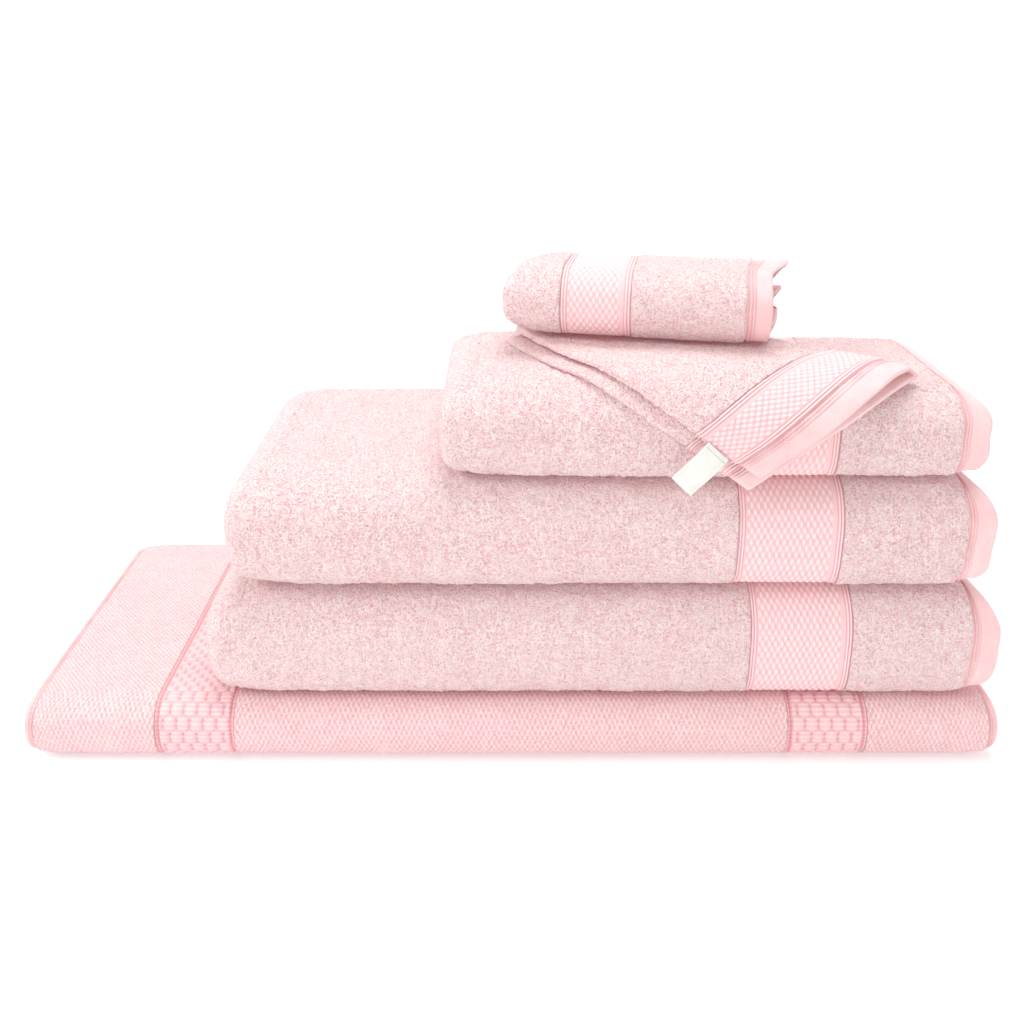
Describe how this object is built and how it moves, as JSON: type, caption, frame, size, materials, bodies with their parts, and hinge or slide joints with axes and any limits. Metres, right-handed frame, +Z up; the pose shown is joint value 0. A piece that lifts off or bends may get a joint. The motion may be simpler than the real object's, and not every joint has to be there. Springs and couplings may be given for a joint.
{
  "type": "bath towel set",
  "caption": "Stack of folded terry bath towels, hand towel and face washers on a folded bath mat, with woven borders, hems and a plain loop label.",
  "frame": {"origin": "centre of the bounding box, on the floor", "axes": "+X along the towels towards their hemmed ends, -Y the front with the long folds, +Z up"},
  "size_m": [0.888, 0.3258, 0.4378],
  "materials": {
    "terry_pile": "soft looped pile",
    "mat_pile": "dense short looped pile",
    "woven_border": "flat weave with raised diamonds",
    "hem_tape": "flat twill",
    "hem_thread": "matt thread",
    "label_satin": "satin",
    "label_thread": "matt thread"
  },
  "bodies": {
    "bath_mat": {"mat_terry": "mat_pile", "mat_border_left": "woven_border", "mat_end_terry_left": "mat_pile", "mat_hem_left": "hem_tape", "mat_hem_stitching_left": "hem_thread", "mat_border_right": "woven_border", "mat_end_terry_right": "mat_pile", "mat_hem_right": "hem_tape", "mat_hem_stitching_right": "hem_thread"},
    "lower_towel": {"lower_towel_terry": "terry_pile", "lower_towel_border": "woven_border", "lower_towel_end_terry": "terry_pile", "lower_towel_hem": "hem_tape", "lower_towel_hem_stitching": "hem_thread"},
    "upper_towel": {"upper_towel_terry": "terry_pile", "upper_towel_border": "woven_border", "upper_towel_end_terry": "terry_pile", "upper_towel_hem": "hem_tape", "upper_towel_hem_stitching": "hem_thread"},
    "hand_towel": {"hand_towel_terry": "terry_pile", "hand_towel_border": "woven_border", "hand_towel_end_terry": "terry_pile", "hand_towel_hem": "hem_tape", "hand_towel_hem_stitching": "hem_thread"},
    "draped_washer": {"draped_outer_terry": "terry_pile", "draped_outer_border": "woven_border", "draped_inner_terry": "terry_pile", "draped_inner_border": "woven_border"},
    "washer_flap": {"flap_outer_terry": "terry_pile", "flap_outer_border": "woven_border", "flap_outer_hem": "hem_tape", "flap_inner_terry": "terry_pile", "flap_inner_border": "woven_border", "flap_inner_hem": "hem_tape"},
    "washer_label": {"washer_label": "label_satin", "washer_label_stitching": "label_thread"},
    "top_washer": {"top_washer_terry": "terry_pile", "top_washer_border": "woven_border", "top_washer_end_terry": "terry_pile", "top_washer_hem": "hem_tape", "top_washer_hem_stitching": "hem_thread"}
  },
  "joints": [
    {"name": "lower_towel_lift", "type": "slide", "parent": "bath_mat", "child": "lower_towel", "axis": [0, 0, 1], "range_m": [0, 0.06]},
    {"name": "upper_towel_lift", "type": "slide", "parent": "lower_towel", "child": "upper_towel", "axis": [0, 0, 1], "range_m": [0, 0.06]},
    {"name": "hand_towel_lift", "type": "slide", "parent": "upper_towel", "child": "hand_towel", "axis": [0, 0, 1], "range_m": [0, 0.06]},
    {"name": "draped_washer_lift", "type": "slide", "parent": "hand_towel", "child": "draped_washer", "axis": [0, 0, 1], "range_m": [0, 0.12]},
    {"name": "washer_corner_fold", "type": "hinge", "parent": "draped_washer", "child": "washer_flap", "pos_m": [0, -0.1031, 0.3735], "axis": [-1, 0, 0], "range_deg": [0, 80]},
    {"name": "label_seam", "type": "hinge", "parent": "washer_flap", "child": "washer_label", "pos_m": [0.16834, -0.1613, 0.31129], "axis": [-0.7314, 0, 0.682], "range_deg": [0, 85]},
    {"name": "top_washer_lift", "type": "slide", "parent": "draped_washer", "child": "top_washer", "axis": [0, 0, 1], "range_m": [0, 0.06]}
  ]
}
